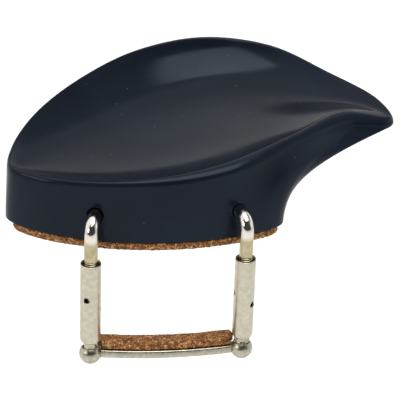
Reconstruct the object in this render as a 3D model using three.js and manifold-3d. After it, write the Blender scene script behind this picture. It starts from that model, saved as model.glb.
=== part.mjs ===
// Side-mounted violin chinrest with a two-barrel clamp.
// Millimetres, +Z up. The origin lies on the underside of the upper cork, midway between the two
// barrels and midway across the footing. +X runs along the violin's lower edge towards the tailpiece,
// and +Y runs inwards over the violin's top, away from the clamp.

import * as THREE from 'three';
import { mergeVertices } from 'three/addons/utils/BufferGeometryUtils.js';
import Module from 'manifold-3d';

const wasm = await Module();
wasm.setup();

// Footing and cork: they follow the curve of the violin's lower edge
const edgeRadius = 74;
const footingDepth = 18;
const footingBreak = 0.5;
const leftSweepAngle = 36.5;
const rightSweepAngle = 27;
const corkThickness = 2.1;
const corkInset = 0.35;
const corkSweepShare = 0.955;

// Cup
const cupWidth = 104.2;
const cupDepth = 68;
const cupHeight = 26.5;
const rollWidth = 4;
const rollDrop = 4;
const coveWidth = 14;
const coveDrop = 8;
const dishCentreShare = { across: -0.02, back: 0.46, height: 0.52 };

// Clamp hooks
const barrelSpacing = 40;
const standOff = 5.3;
const rodRadius = 1.75;
const bendRadius = 3.3;
const legHeight = 7.9;
const legDepth = 14;
const rodEndBreak = 0.4;
const drillClearance = 0.12;
const drillRim = 0.6;

// Barrels
const barrelRadius = 2.7;
const barrelLength = 23.7;
const barrelTopDrop = 1.1;
const barrelShoulder = 1.2;
const barrelLowerRim = 2;
const barrelTopBreak = 0.2;
const threadClearance = 0.15;
const mouthRadius = 2.35;
const mouthDepth = 1;
const keyHoleRadius = 0.78;
const upperKeyHoleDepth = 10.1;
const lowerKeyHoleDepth = 13.3;
const leftKeyAngles = { upper: -28, lower: 77 };
const rightKeyAngles = { upper: -85, lower: 51 };

// Swivel studs
const neckRadius = 1.6;
const neckClearance = 0.15;
const rolledRimHeight = 0.9;
const collarHeight = 2.2;
const collarRadius = 2.1;
const collarClearance = 0.15;
const ballRadius = 2.1;
const ballDrop = 3.8;
const rodEndGap = 0.95;

// Foot
const footDepth = 6.2;
const plateThickness = 2.1;
const plateEdgeRound = 0.45;
const plateEndRound = 1.6;
const plateReachShare = 0.93;
const pivotAbovePlate = 1.3;
const socketRadius = 2.9;
const socketTop = 1.7;
const socketClearance = 0.15;
const throatRadius = 1.95;
const throatFlare = 0.15;
const footCorkThickness = 2.2;
const footCorkInset = 0.4;
const footCorkBreak = 0.25;
const footCorkReachShare = 0.93;
const corkToSocket = 0.1;
const glueLine = 0.2;
const droopAngle = 10;

// Cutting tools run past the surfaces that they cut by this much
const overrun = 1;

// How finely curves are stepped
const stepsPerStation = 6;
const roundSides = 32;
const rodSides = 20;
const bendSteps = 8;
const arcSteps = 14;
const ballSteps = 10;
const shoulderSteps = 4;

// Places worked out from the sizes above
const edgeCentreY = edgeRadius - footingDepth / 2;
const wallFrontY = -footingDepth / 2;
const barrelReach = edgeRadius + standOff;
const barrelX = barrelSpacing / 2;
const barrelTurn = Math.asin(barrelX / barrelReach);
const barrelY = edgeCentreY - barrelReach * Math.cos(barrelTurn);
const legZ = corkThickness + legHeight;
const barrelTopZ = -barrelTopDrop;
const barrelBottomZ = barrelTopZ - barrelLength;
const boreRadius = rodRadius + threadClearance;
const cavityRadius = collarRadius + collarClearance;
const cavityBottomZ = barrelBottomZ + rolledRimHeight;
const collarBottomZ = cavityBottomZ + collarClearance;
const collarTopZ = collarBottomZ + collarHeight;
const cavityTopZ = collarTopZ + collarClearance;
const rodEndZ = collarTopZ + rodEndGap;
const pivotZ = barrelBottomZ - ballDrop;

// Finishes
const lacquer = { color: 0x262c36, roughness: 0.28, metalness: 0 };
const corkFinish = { color: 0xc08a58, roughness: 0.9, metalness: 0 };
const nickel = { color: 0xcfcab8, roughness: 0.22, metalness: 1 };

const group = new THREE.Group();

function addMesh(parent, name, geometry, finish) {
  const mesh = new THREE.Mesh(geometry, new THREE.MeshStandardMaterial(finish));
  mesh.name = name;
  parent.add(mesh);
}

// Closed geometry to a solid that can be cut and joined, and back
function toSolid(geometry) {
  const bare = geometry.clone();
  bare.deleteAttribute('normal');
  bare.deleteAttribute('uv');
  const merged = mergeVertices(bare);
  return new wasm.Manifold(new wasm.Mesh({
    numProp: 3,
    vertProperties: new Float32Array(merged.attributes.position.array),
    triVerts: new Uint32Array(merged.index.array),
  }));
}

function toGeometry(solid) {
  const mesh = solid.getMesh();
  const geometry = new THREE.BufferGeometry();
  geometry.setAttribute('position', new THREE.BufferAttribute(mesh.vertProperties, mesh.numProp));
  geometry.setIndex(new THREE.BufferAttribute(mesh.triVerts, 1));
  geometry.computeVertexNormals();
  return geometry;
}

// A closed skin through rings of equally many points, each ring running the same way round.
// A cap is a fan to the ring's own middle, or the triangles of a flat outline that isn't convex.
function loft(rings, flatStart) {
  const sides = rings[0].length;
  const points = rings.flat();
  const faces = [];
  for (let ring = 0; ring < rings.length - 1; ring += 1) {
    for (let side = 0; side < sides; side += 1) {
      const next = (side + 1) % sides;
      const a = ring * sides + side;
      const b = ring * sides + next;
      faces.push(a, b, b + sides);
      faces.push(a, b + sides, a + sides);
    }
  }
  if (flatStart) {
    const outline = rings[0].map((p) => new THREE.Vector2(p.x, p.y));
    for (const [a, b, c] of THREE.ShapeUtils.triangulateShape(outline, [])) {
      faces.push(a, c, b);
    }
  } else {
    const start = points.push(middleOf(rings[0])) - 1;
    for (let side = 0; side < sides; side += 1) {
      faces.push(start, (side + 1) % sides, side);
    }
  }
  const last = (rings.length - 1) * sides;
  const end = points.push(middleOf(rings[rings.length - 1])) - 1;
  for (let side = 0; side < sides; side += 1) {
    faces.push(end, last + side, last + ((side + 1) % sides));
  }
  const geometry = new THREE.BufferGeometry().setFromPoints(points);
  geometry.setIndex(faces);
  geometry.computeVertexNormals();
  return geometry;
}

function middleOf(ring) {
  const middle = new THREE.Vector3();
  for (const point of ring) {
    middle.add(point);
  }
  return middle.divideScalar(ring.length);
}

// The cup's outline, station by station: the left end, along the front lip to the wing's tip, and
// back along the far rim. For each station:
//   rim: the crest of the rim, as shares of the cup's width, depth and height
//   roll: how far the rim's outer side stands out from the crest, and drops below it
//   cove: how far the dish's side reaches inwards from the crest, and how deep it goes
//   foot: the footing's edge, as shares of its sweep from the middle and of its depth from the front
//   flank: how the outer side leaves the footing upwards, and how it comes out under the rim
//   wall: 1 where the wall stands straight up from the footing
const stationShares = [
  { rim: [-0.379, 0.208, 0.623], roll: [0.15, 0.6], cove: [0.4, 0.2], foot: [-0.94, 0.11],
    flank: [0.33, 0.67, 0.67], wall: 0 },
  { rim: [-0.288, 0.108, 0.619], roll: [0.25, 0.5], cove: [0.75, 0.25], foot: [-0.68, 0],
    flank: [0.33, 0.67, 0.67], wall: 1 },
  { rim: [-0.149, 0.036, 0.657], roll: [0.2, 0.45], cove: [0.9, 0.36], foot: [-0.33, 0],
    flank: [0.33, 0.67, 0.67], wall: 1 },
  { rim: [0, 0.026, 0.713], roll: [0.35, 0.5], cove: [1, 0.42], foot: [0, 0],
    flank: [0.33, 0.67, 0.67], wall: 1 },
  { rim: [0.154, 0.084, 0.774], roll: [0.5, 0.55], cove: [1, 0.45], foot: [0.42, 0],
    flank: [0.33, 0.6, 0.67], wall: 0.6 },
  { rim: [0.331, 0.247, 0.838], roll: [0.55, 0.6], cove: [0.95, 0.4], foot: [0.78, 0],
    flank: [0.5, 0.3, 0.8], wall: 0 },
  { rim: [0.475, 0.416, 0.849], roll: [0.85, 0.9], cove: [0.6, 0.15], foot: [0.925, 0.055],
    flank: [0.56, 0.28, 0.84], wall: 0 },
  { rim: [0.596, 0.458, 0.735], roll: [0.4, 0.65], cove: [0.45, -0.1], foot: [0.99, 0.245],
    flank: [0.6, 0.3, 0.84], wall: 0 },
  { rim: [0.576, 0.563, 0.792], roll: [0.2, 0.75], cove: [0.45, 0.08], foot: [1, 0.51],
    flank: [0.6, 0.4, 0.85], wall: 0 },
  { rim: [0.4635, 0.743, 0.879], roll: [0.2, 0.9], cove: [0.5, 0.5], foot: [0.915, 0.85],
    flank: [0.5, 0.6, 0.7], wall: 0 },
  { rim: [0.326, 0.931, 0.962], roll: [0.25, 1], cove: [0.6, 0.85], foot: [0.575, 1],
    flank: [0.38, 0.8, 0.5], wall: 0 },
  { rim: [0.1535, 0.987, 1], roll: [0.25, 1], cove: [0.62, 0.95], foot: [0.15, 1],
    flank: [0.34, 0.85, 0.42], wall: 0 },
  { rim: [-0.026, 0.905, 0.97], roll: [0.25, 1], cove: [0.62, 0.95], foot: [-0.225, 1],
    flank: [0.34, 0.85, 0.42], wall: 0 },
  { rim: [-0.184, 0.731, 0.883], roll: [0.25, 1], cove: [0.58, 0.8], foot: [-0.575, 1],
    flank: [0.36, 0.8, 0.45], wall: 0 },
  { rim: [-0.305, 0.53, 0.77], roll: [0.25, 0.95], cove: [0.5, 0.6], foot: [-0.9, 0.93],
    flank: [0.36, 0.6, 0.55], wall: 0 },
  { rim: [-0.37, 0.336, 0.668], roll: [0.22, 0.8], cove: [0.42, 0.36], foot: [-1, 0.505],
    flank: [0.34, 0.6, 0.62], wall: 0 },
];
const cupSides = stationShares.length * stepsPerStation;

// Smooth closed run of three values through the stations
function run(values, kind) {
  const points = values.map(([a, b, c]) => new THREE.Vector3(a, b, c));
  return new THREE.CatmullRomCurve3(points, true, kind);
}

const rimRun = run(stationShares.map((s) => [
  s.rim[0] * cupWidth,
  wallFrontY + s.rim[1] * cupDepth,
  corkThickness + s.rim[2] * cupHeight,
]), 'centripetal');
const rollRun = run(stationShares.map((s) => [...s.roll, s.wall]), 'catmullrom');
const coveRun = run(stationShares.map((s) => [...s.cove, 0]), 'catmullrom');
const footRun = run(stationShares.map((s) => [...s.foot, 0]), 'catmullrom');
const flankRun = run(stationShares.map((s) => s.flank), 'catmullrom');

// The footing's edge at a share of the way round, drawn in by an inset, and shorter by a sweep share
function footingPoint(share, inset, sweepShare = 1) {
  const [turnShare, depthShare] = footRun.getPoint(share).toArray();
  const sweep = turnShare < 0 ? leftSweepAngle : rightSweepAngle;
  const turn = THREE.MathUtils.degToRad(turnShare * sweep * sweepShare);
  const radius = edgeRadius - Math.max(0, depthShare) * footingDepth;
  const edge = new THREE.Vector3(
    radius * Math.sin(turn),
    edgeCentreY - radius * Math.cos(turn),
    corkThickness,
  );
  const middle = new THREE.Vector3(
    (edgeRadius - footingDepth / 2) * Math.sin(turn),
    edgeCentreY - (edgeRadius - footingDepth / 2) * Math.cos(turn),
    corkThickness,
  );
  return edge.add(middle.sub(edge).setLength(inset));
}

const dishCentre = new THREE.Vector3(
  dishCentreShare.across * cupWidth,
  wallFrontY + dishCentreShare.back * cupDepth,
  corkThickness + dishCentreShare.height * cupHeight,
);

// One section of the cup: from the footing up the outer side, over the rim and into the dish
const flankShares = [0.15, 0.32, 0.5, 0.66, 0.82, 0.93, 1];
const rollTurns = [60, 30, 0];
const coveShares = [0.08, 0.2, 0.38, 0.58, 0.8, 1];
const floorShares = [0.86, 0.68, 0.48, 0.28, 0.1];
const crestSoftShare = 0.06;

function cupSection(share) {
  const foot = footingPoint(share, 0);
  const rim = rimRun.getPoint(share);
  const tangent = rimRun.getTangent(share);
  const outward = new THREE.Vector3(tangent.y, -tangent.x, 0).normalize();
  const [outShare, dropShare, wallShare] = rollRun.getPoint(share).toArray();
  const [coveInShare, coveDropShare] = coveRun.getPoint(share).toArray();
  const [riseShare, reachShare, liftShare] = flankRun.getPoint(share).toArray();
  const rollOut = outShare * rollWidth;
  const rollFall = dropShare * rollDrop;

  const edge = rim.clone().addScaledVector(outward, rollOut);
  edge.x = THREE.MathUtils.lerp(edge.x, foot.x, wallShare);
  edge.y = THREE.MathUtils.lerp(edge.y, foot.y, wallShare);
  edge.z -= rollFall;

  const height = edge.z - foot.z;
  const upright = foot.clone().setZ(foot.z + riseShare * height);
  const under = foot.clone().lerp(edge, reachShare).setZ(foot.z + liftShare * height);
  const flank = new THREE.CubicBezierCurve3(foot, upright, under, edge);

  const section = [footingPoint(share, footingBreak), foot.clone().setZ(foot.z + footingBreak)];
  for (const at of flankShares) {
    section.push(flank.getPoint(at));
  }
  for (const turn of rollTurns) {
    const angle = THREE.MathUtils.degToRad(turn);
    const point = rim.clone().lerp(edge, Math.sin(angle));
    point.z = rim.z - rollFall * (1 - Math.cos(angle));
    section.push(point);
  }
  const ledge = rim.clone().addScaledVector(outward, -coveInShare * coveWidth);
  ledge.z -= coveDropShare * coveDrop;
  for (const at of coveShares) {
    const point = rim.clone().lerp(ledge, at);
    const fall = 1 - (1 - at) ** 2 - crestSoftShare * Math.sin(Math.PI * at);
    point.z = THREE.MathUtils.lerp(rim.z, ledge.z, fall);
    section.push(point);
  }
  for (const at of floorShares) {
    const point = dishCentre.clone().lerp(ledge, at);
    point.z = THREE.MathUtils.lerp(dishCentre.z, ledge.z, at ** 2);
    section.push(point);
  }
  return section;
}

const sections = Array.from({ length: cupSides }, (_, side) => cupSection(side / cupSides));
const cupRings = sections[0].map((_, ring) => sections.map((section) => section[ring]));

// A round bar along a bent line that lies in an upright plane through the centre of the edge curve.
// Each stop gives the distance out from that centre, the height, the bar's heading and its radius.
function barRings(turn, stops, sides) {
  const across = new THREE.Vector3(Math.sin(turn), -Math.cos(turn), 0);
  const sideways = new THREE.Vector3(-Math.cos(turn), -Math.sin(turn), 0);
  return stops.map(({ out, up, heading, radius }) => {
    const centre = across.clone().multiplyScalar(out);
    centre.y += edgeCentreY;
    centre.z = up;
    const normal = across.clone().multiplyScalar(-Math.sin(heading));
    normal.z = Math.cos(heading);
    return Array.from({ length: sides }, (_, side) => {
      const angle = 2 * Math.PI * side / sides;
      return centre.clone()
        .addScaledVector(normal, radius * Math.cos(angle))
        .addScaledVector(sideways, radius * Math.sin(angle));
    });
  });
}

// The hole that each hook's leg is let into, with a small rim cut round its mouth
function hookDrill(turn) {
  const drillRadius = rodRadius + drillClearance;
  const ahead = { up: legZ, heading: 0 };
  return toSolid(loft(barRings(turn, [
    { ...ahead, out: edgeRadius - legDepth - drillClearance, radius: drillRadius },
    { ...ahead, out: edgeRadius - drillRim, radius: drillRadius },
    { ...ahead, out: edgeRadius + overrun, radius: drillRadius + drillRim + overrun },
  ], rodSides)));
}

function makeCup() {
  const blank = toSolid(loft(cupRings, true));
  const drilled = blank.subtract(hookDrill(-barrelTurn)).subtract(hookDrill(barrelTurn));
  return toGeometry(drilled);
}

function makeUpperCork() {
  const edge = Array.from(
    { length: cupSides },
    (_, side) => footingPoint(side / cupSides, corkInset, corkSweepShare),
  );
  const outline = new THREE.Shape(edge.map((p) => new THREE.Vector2(p.x, p.y)));
  return new THREE.ExtrudeGeometry(outline, { depth: corkThickness, bevelEnabled: false });
}

// One hook: the leg in the wood, a quarter bend, and the threaded end that hangs down the barrel
function makeHook(turn) {
  const bendOut = barrelReach - bendRadius;
  const bendDown = legZ - bendRadius;
  const stops = [
    { out: edgeRadius - legDepth, up: legZ, heading: 0, radius: rodRadius - rodEndBreak },
    { out: edgeRadius - legDepth + rodEndBreak, up: legZ, heading: 0, radius: rodRadius },
  ];
  for (let step = 0; step <= bendSteps; step += 1) {
    const heading = (Math.PI / 2) * (step / bendSteps);
    stops.push({
      out: bendOut + bendRadius * Math.sin(heading),
      up: bendDown + bendRadius * Math.cos(heading),
      heading: -heading,
      radius: rodRadius,
    });
  }
  const down = { out: barrelReach, heading: -Math.PI / 2 };
  stops.push({ ...down, up: rodEndZ + rodEndBreak, radius: rodRadius });
  stops.push({ ...down, up: rodEndZ, radius: rodRadius - rodEndBreak });
  return loft(barRings(turn, stops, rodSides));
}

function lathe(profile) {
  return new THREE.LatheGeometry(profile.map(([r, z]) => new THREE.Vector2(r, z)), roundSides)
    .rotateX(Math.PI / 2);
}

// Part of a ball's round profile, from one height angle to another
function ballArc(radius, from, to) {
  return Array.from({ length: ballSteps + 1 }, (_, step) => {
    const lift = THREE.MathUtils.lerp(from, to, step / ballSteps);
    return [lift === -Math.PI / 2 ? 0 : radius * Math.cos(lift), radius * Math.sin(lift)];
  });
}

// A pin-key hole right through the barrel, turned from the clamp side towards +X
function keyHole(depth, turnDegrees) {
  const reach = 2 * (barrelRadius + overrun);
  const tool = new THREE.CylinderGeometry(keyHoleRadius, keyHoleRadius, reach, rodSides);
  tool.rotateZ(THREE.MathUtils.degToRad(turnDegrees));
  tool.translate(0, 0, barrelTopZ - depth);
  return toSolid(tool);
}

// One barrel: long round nut, open at the top, rolled in round the stud's neck at the bottom
function makeBarrel(keyAngles) {
  const rimHole = neckRadius + neckClearance;
  const shoulder = Array.from({ length: shoulderSteps + 1 }, (_, step) => {
    const turn = (Math.PI / 2) * (step / shoulderSteps);
    return [
      THREE.MathUtils.lerp(barrelLowerRim, barrelRadius, Math.sin(turn)),
      barrelBottomZ + barrelShoulder * (1 - Math.cos(turn)),
    ];
  });
  const body = lathe([
    [rimHole, barrelBottomZ],
    ...shoulder,
    [barrelRadius, barrelTopZ - barrelTopBreak],
    [barrelRadius - barrelTopBreak, barrelTopZ],
    [mouthRadius, barrelTopZ],
    [boreRadius, barrelTopZ - mouthDepth],
    [boreRadius, cavityTopZ],
    [cavityRadius, cavityTopZ],
    [cavityRadius, cavityBottomZ],
    [rimHole, cavityBottomZ],
    [rimHole, barrelBottomZ],
  ]);
  const drilled = toSolid(body)
    .subtract(keyHole(upperKeyHoleDepth, keyAngles.upper))
    .subtract(keyHole(lowerKeyHoleDepth, keyAngles.lower));
  return toGeometry(drilled);
}

// One stud: collar held in the barrel, smooth neck, and a ball held in the foot plate's socket
function makeStud() {
  const ball = ballArc(ballRadius, -Math.PI / 2, Math.acos(neckRadius / ballRadius));
  return lathe([
    ...ball.map(([r, z]) => [r, pivotZ + z]),
    [neckRadius, collarBottomZ],
    [collarRadius, collarBottomZ],
    [collarRadius, collarTopZ],
    [0, collarTopZ],
  ]);
}

// A strip between two arcs that share the centre of the edge curve, seen from above with the
// barrels' axes on the line y = 0, its corners cut round
function arcStrip(frontRadius, backRadius, halfLength, cornerRound) {
  const centreY = barrelReach * Math.cos(barrelTurn);
  const corner = (radius, side, inwards) => {
    const along = Math.asin((side * (halfLength - inwards)) / radius);
    return new THREE.Vector2(radius * Math.sin(along), centreY - radius * Math.cos(along));
  };
  const points = [];
  for (const [radius, from] of [[frontRadius, -1], [backRadius, 1]]) {
    const start = corner(radius, from, cornerRound);
    const end = corner(radius, -from, cornerRound);
    for (let step = 0; step <= arcSteps; step += 1) {
      const x = THREE.MathUtils.lerp(start.x, end.x, step / arcSteps);
      points.push(new THREE.Vector2(x, centreY - Math.sqrt(radius ** 2 - x ** 2)));
    }
  }
  const ends = [];
  for (const side of [1, -1]) {
    const front = corner(frontRadius, side, 0);
    const back = corner(backRadius, side, 0);
    ends.push([
      new THREE.Vector2(side * halfLength, front.y + cornerRound),
      new THREE.Vector2(side * halfLength, back.y - cornerRound),
    ]);
  }
  const [right, left] = ends;
  const frontRun = points.slice(0, arcSteps + 1);
  const backRun = points.slice(arcSteps + 1);
  return new THREE.Shape([...frontRun, ...right, ...backRun, left[1], left[0]]);
}

// Flat stock with rounded edges, cut to an outline, its underside at z = 0
function roundedStock(outline, thickness, edgeRound) {
  const stock = new THREE.ExtrudeGeometry(outline, {
    depth: thickness - 2 * edgeRound,
    bevelThickness: edgeRound,
    bevelSize: edgeRound,
    bevelOffset: -edgeRound,
    bevelSegments: 2,
    curveSegments: roundSides,
  });
  return stock.translate(0, 0, edgeRound);
}

// The foot plate: bowed bar with a ball-shaped socket at each end, hollowed from above round the
// stud's ball. Its own frame has the line through the two balls' centres as the X axis.
function makeFootPlate() {
  const bar = arcStrip(barrelReach, barrelReach - footDepth, barrelX * plateReachShare, plateEndRound);
  const lowest = -Math.PI / 2;
  const outside = lathe([
    ...ballArc(socketRadius, lowest, Math.asin(socketTop / socketRadius)),
    [0, socketTop],
  ]);
  const seatRadius = ballRadius + socketClearance;
  const hollow = lathe([
    ...ballArc(seatRadius, lowest, Math.acos(throatRadius / seatRadius)),
    [throatRadius + throatFlare, socketTop],
    [throatRadius + throatFlare, socketTop + overrun],
    [0, socketTop + overrun],
  ]);
  let plate = toSolid(roundedStock(bar, plateThickness, plateEdgeRound)
    .translate(0, 0, -pivotAbovePlate));
  for (const side of [-1, 1]) {
    plate = plate
      .add(toSolid(outside.clone().translate(side * barrelX, 0, 0)))
      .subtract(toSolid(hollow.clone().translate(side * barrelX, 0, 0)));
  }
  return toGeometry(plate);
}

// The lower cork, cut away round the two sockets
function makeFootCork() {
  const strip = arcStrip(
    barrelReach - footCorkInset,
    barrelReach - footDepth + footCorkInset,
    barrelX * footCorkReachShare,
    footCorkInset,
  );
  let cork = toSolid(roundedStock(strip, footCorkThickness, footCorkBreak));
  const notchRadius = socketRadius + corkToSocket;
  const notch = new THREE.CylinderGeometry(notchRadius, notchRadius, 2 * footCorkThickness, roundSides)
    .rotateX(Math.PI / 2)
    .translate(0, 0, footCorkThickness / 2);
  for (const side of [-1, 1]) {
    cork = cork.subtract(toSolid(notch.clone().translate(side * barrelX, 0, 0)));
  }
  return toGeometry(cork).translate(0, 0, plateThickness - pivotAbovePlate + glueLine);
}

addMesh(group, 'chin_cup', makeCup(), lacquer);
addMesh(group, 'upper_cork', makeUpperCork(), corkFinish);

const clampSides = [
  { name: 'left', side: -1, keyAngles: leftKeyAngles },
  { name: 'right', side: 1, keyAngles: rightKeyAngles },
];
for (const { name, side, keyAngles } of clampSides) {
  addMesh(group, `${name}_hook`, makeHook(side * barrelTurn), nickel);
  const column = new THREE.Group();
  column.position.set(side * barrelX, barrelY, 0);
  addMesh(column, `${name}_barrel`, makeBarrel(keyAngles), nickel);
  addMesh(column, `${name}_stud`, makeStud(), nickel);
  group.add(column);
}

// The loosened foot hangs down at the back until its sockets lean on the studs' necks
const foot = new THREE.Group();
foot.position.set(0, barrelY, pivotZ);
foot.rotation.x = THREE.MathUtils.degToRad(-droopAngle);
addMesh(foot, 'foot_plate', makeFootPlate(), nickel);
addMesh(foot, 'foot_cork', makeFootCork(), corkFinish);
group.add(foot);

export default group;
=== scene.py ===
# %% [markdown]
# # A side-mounted violin chinrest
# A chinrest is a shallow wooden dish that clips onto the lower edge of a violin. Black lacquer, raw
# cork and bright nickel are its three finishes, and a two-barrel clamp holds it. Every piece here
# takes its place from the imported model, so the lesson starts by loading that.

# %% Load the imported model
import math

import bmesh
import bpy
import numpy as np
from mathutils import Matrix, Vector, noise


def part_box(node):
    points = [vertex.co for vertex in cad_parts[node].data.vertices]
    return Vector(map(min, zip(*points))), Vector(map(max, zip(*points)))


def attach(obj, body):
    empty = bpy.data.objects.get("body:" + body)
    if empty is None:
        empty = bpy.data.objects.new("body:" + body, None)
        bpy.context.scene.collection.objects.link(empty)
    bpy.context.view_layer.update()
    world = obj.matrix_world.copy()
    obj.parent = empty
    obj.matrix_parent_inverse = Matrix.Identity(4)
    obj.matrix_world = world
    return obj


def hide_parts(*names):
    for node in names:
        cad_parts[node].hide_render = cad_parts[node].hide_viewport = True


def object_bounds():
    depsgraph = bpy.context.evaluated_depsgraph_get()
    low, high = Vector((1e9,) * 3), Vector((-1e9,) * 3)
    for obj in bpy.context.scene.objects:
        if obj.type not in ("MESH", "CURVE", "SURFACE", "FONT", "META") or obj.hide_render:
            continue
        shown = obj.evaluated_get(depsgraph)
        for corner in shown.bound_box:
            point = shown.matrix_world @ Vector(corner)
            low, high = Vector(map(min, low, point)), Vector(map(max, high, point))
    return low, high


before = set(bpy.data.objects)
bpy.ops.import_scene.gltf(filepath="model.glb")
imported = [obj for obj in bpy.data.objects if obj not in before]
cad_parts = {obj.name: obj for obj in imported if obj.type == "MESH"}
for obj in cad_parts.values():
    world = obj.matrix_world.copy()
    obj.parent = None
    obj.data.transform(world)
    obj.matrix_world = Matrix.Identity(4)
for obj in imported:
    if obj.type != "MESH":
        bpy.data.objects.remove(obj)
cad_low, cad_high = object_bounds()
MM = 0.001

# %% [markdown]
# ## The camera
# The photograph was taken from the clamp side with a long lens, a little to the left and about thirty
# degrees above the violin's top. Placing the camera first means that every later look at the object
# can be held against the photograph.

# %% Camera at the photograph's place
SENSOR_WIDTH = 36.0
FOCAL_PIXELS = 2210.9
PHOTO_WIDTH = 400
CAMERA_PLACE = Vector((-56.22, -493.65, 294.29)) * MM
CAMERA_AIM = Vector((8.26, -6.30, 13.43)) * MM
CAMERA_ROLL = math.radians(2.087)

camera = bpy.data.objects.new("camera", bpy.data.cameras.new("camera"))
bpy.context.scene.collection.objects.link(camera)
bpy.context.scene.camera = camera
camera.data.sensor_width = SENSOR_WIDTH
camera.data.lens = FOCAL_PIXELS / PHOTO_WIDTH * SENSOR_WIDTH
camera.data.clip_start, camera.data.clip_end = 0.01, 10
aim = (CAMERA_AIM - CAMERA_PLACE).to_track_quat("-Z", "Y").to_matrix()
camera.matrix_world = (Matrix.Translation(CAMERA_PLACE) @ aim.to_4x4()
                       @ Matrix.Rotation(CAMERA_ROLL, 4, "Z"))
print("lens", round(camera.data.lens, 1), "mm")

# %% [markdown]
# ## The sizes
# These are the same sizes as in the part's source, in millimetres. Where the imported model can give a
# place, it is read from there, so that the pieces stay on the model.

# %% Sizes in millimetres
EDGE_RADIUS = 74.0
FOOTING_DEPTH = 18.0
FOOTING_BREAK = 0.5
LEFT_SWEEP, RIGHT_SWEEP = math.radians(36.5), math.radians(27)
CORK_THICKNESS = 2.1
CORK_INSET, CORK_SWEEP_SHARE = 0.35, 0.955
CUP_WIDTH, CUP_DEPTH, CUP_HEIGHT = 104.2, 68.0, 26.5
ROLL_WIDTH, ROLL_DROP = 4.0, 4.0
COVE_WIDTH, COVE_DROP = 14.0, 8.0
ROD_RADIUS, BEND_RADIUS = 1.75, 3.3
LEG_HEIGHT, LEG_DEPTH = 7.9, 14.0
STAND_OFF = 5.3

EDGE_CENTRE_Y = EDGE_RADIUS - FOOTING_DEPTH / 2
WALL_FRONT_Y = -FOOTING_DEPTH / 2
BARREL_REACH = EDGE_RADIUS + STAND_OFF


def middle(node):
    """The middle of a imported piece, and its lowest and highest corners, in millimetres."""
    low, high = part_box(node)
    return (low + high) / 2 / MM, low / MM, high / MM


barrel_middle, barrel_low, barrel_high = middle("right_barrel")
stud_middle, stud_low, stud_high = middle("right_stud")
BARREL_X, BARREL_Y = barrel_middle.x, barrel_middle.y
BARREL_TOP, BARREL_BOTTOM = barrel_high.z, barrel_low.z
BARREL_TURN = math.asin(BARREL_X / BARREL_REACH)
LEG_Z = CORK_THICKNESS + LEG_HEIGHT
ROD_END = middle("right_hook")[1].z
print("barrel axis", round(BARREL_X, 3), round(BARREL_Y, 3), "from", round(BARREL_BOTTOM, 2),
      "to", round(BARREL_TOP, 2))

# %% [markdown]
# ## Colours and nodes
# Blender's colour sockets hold linear light, and the colours listed here are sRGB. One function turns
# the second into the first, and one more adds a shader node with its settings and links in one call.

# %% Colour and node helpers


def linear(hex_colour):
    """An sRGB colour such as "c08a58" as linear red, green, blue and alpha."""
    parts = [int(hex_colour[i:i + 2], 16) / 255 for i in (0, 2, 4)]
    return [p / 12.92 if p <= 0.04045 else ((p + 0.055) / 1.055) ** 2.4 for p in parts] + [1.0]


def add(material, kind, inputs=None, **settings):
    """Adds a shader node. An input is given a value, or another node's output socket."""
    made = material.node_tree.nodes.new("ShaderNode" + kind)
    for name, value in settings.items():
        setattr(made, name, value)
    for name, value in (inputs or {}).items():
        if isinstance(value, bpy.types.NodeSocket):
            material.node_tree.links.new(value, made.inputs[name])
        else:
            made.inputs[name].default_value = value
    return made


def start_material(name):
    """An empty material, with the object's own coordinates in millimetres."""
    material = bpy.data.materials.new(name)
    material.use_nodes = True
    material.node_tree.nodes.clear()
    place = add(material, "TexCoord")
    scale = 1 / MM
    in_mm = add(material, "Mapping", {"Vector": place.outputs["Object"], "Scale": (scale,) * 3})
    return material, in_mm.outputs["Vector"]


def ramp(material, factor, stops, interpolation="LINEAR"):
    """A colour ramp through (place, colour) stops."""
    made = add(material, "ValToRGB", {"Fac": factor})
    band = made.color_ramp
    band.interpolation = interpolation
    while len(band.elements) < len(stops):
        band.elements.new(0.5)
    for element, (place, colour) in zip(band.elements, stops):
        element.position = place
        element.color = linear(colour) if isinstance(colour, str) else (colour,) * 3 + (1.0,)
    return made.outputs["Color"]


def close_material(material, inputs):
    """Ends a material in a Principled shader with those inputs."""
    shader = add(material, "BsdfPrincipled", inputs)
    add(material, "OutputMaterial", {"Surface": shader.outputs["BSDF"]})
    return material


# %% [markdown]
# ## Black lacquer on dyed hardwood
# The cup is carved hardwood, dyed black and sprayed with several coats of lacquer that are rubbed
# down and polished. The eye sees a deep blue-black with a glassy coat. The coat is not quite flat:
# it has the faint ripple that sprayed lacquer always has, and a little dust lies on it.

# %% Lacquer material
RIPPLE_SPACING = 2.2
DUST_SPACING = 3.2


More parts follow.
